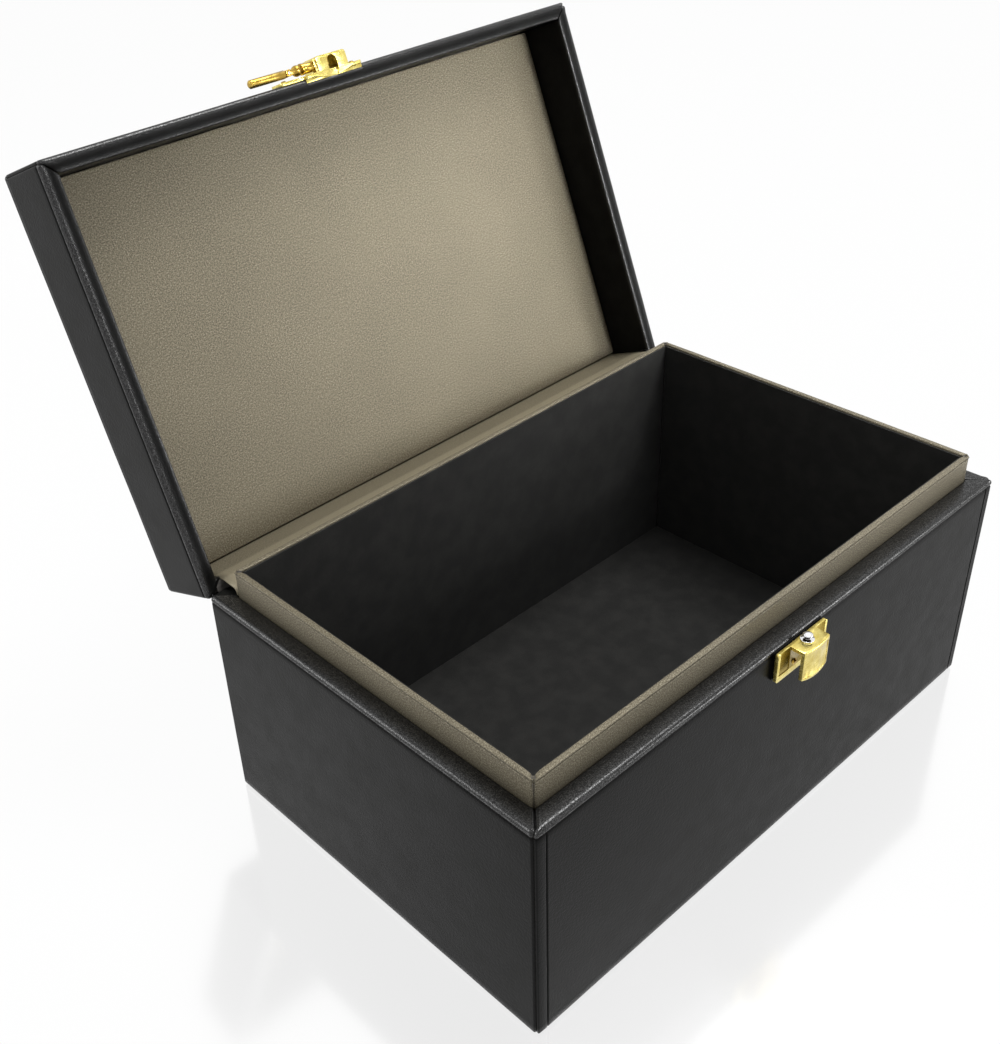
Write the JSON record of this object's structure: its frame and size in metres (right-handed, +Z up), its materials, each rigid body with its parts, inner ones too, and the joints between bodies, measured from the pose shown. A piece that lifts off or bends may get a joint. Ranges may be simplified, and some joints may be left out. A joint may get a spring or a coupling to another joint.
{
  "type": "key box",
  "caption": "Leatherette-covered board box with a hinged tray lid, a raised conductive-fabric collar and a small sprung brass latch.",
  "frame": {"origin": "middle of the underside", "axes": "+Z up, -Y towards the latch side, +X to the right seen from the latch side"},
  "size_m": [0.195, 0.1998, 0.19],
  "materials": {
    "leatherette": "satin black, fine grain",
    "conductive_fabric": "grey-gold woven, faint sheen",
    "dark_lining": "matt charcoal, fine grain",
    "board": "matt grey pulp board",
    "underside": "matt black paper",
    "latch_brass": "polished, lacquered",
    "chromed_peg": "polished",
    "steel": "plain"
  },
  "bodies": {
    "base": {"base_floor_board": "board", "base_front_board": "board", "base_back_board": "board", "base_left_board": "board", "base_right_board": "board", "base_front_leather": "leatherette", "base_back_leather": "leatherette", "base_left_leather": "leatherette", "base_right_leather": "leatherette", "underside_sheet": "underside", "collar_front_board": "board", "collar_back_board": "board", "collar_left_board": "board", "collar_right_board": "board", "collar_front_fabric": "conductive_fabric", "collar_back_fabric": "conductive_fabric", "collar_left_fabric": "conductive_fabric", "collar_right_fabric": "conductive_fabric", "lining_front": "dark_lining", "lining_back": "dark_lining", "lining_left": "dark_lining", "lining_right": "dark_lining", "lining_floor": "dark_lining", "catch_backing": "latch_brass", "catch_bracket": "latch_brass", "catch_peg": "chromed_peg", "catch_nails": "latch_brass"},
    "lid": {"lid_top_board": "board", "lid_front_board": "board", "lid_back_board": "board", "lid_left_board": "board", "lid_right_board": "board", "lid_top_leather": "leatherette", "lid_front_leather": "leatherette", "lid_back_leather": "leatherette", "lid_left_leather": "leatherette", "lid_right_leather": "leatherette", "lid_panel_board": "board", "lid_panel_fabric": "conductive_fabric", "latch_plate": "latch_brass", "latch_housing": "latch_brass", "latch_nails": "latch_brass", "hinge_leather": "leatherette", "hinge_lining": "conductive_fabric"},
    "bolt": {"bolt_rod": "latch_brass", "bolt_barrel": "latch_brass", "bolt_eye": "latch_brass", "bar_pin": "steel", "bolt_spring": "steel"},
    "bar": {"latch_bar": "latch_brass"}
  },
  "joints": [
    {"name": "lid_hinge", "type": "hinge", "parent": "base", "child": "lid", "pos_m": [0, 0.0616, 0.0708], "axis": [1, 0, 0], "range_deg": [0, 111.8], "deforming": ["hinge_leather", "hinge_lining"]},
    {"name": "bolt_slide", "type": "slide", "parent": "lid", "child": "bolt", "axis": [-1, 0, 0], "range_m": [0, 0.0016], "stiffness_N_per_m": 250, "springref_m": -0.002, "deforming": ["bolt_spring"]},
    {"name": "bar_swing", "type": "hinge", "parent": "bolt", "child": "bar", "pos_m": [-0.0159, 0.11081, 0.18736], "axis": [0, 0.9285, -0.3714], "range_deg": [0, 90]}
  ]
}
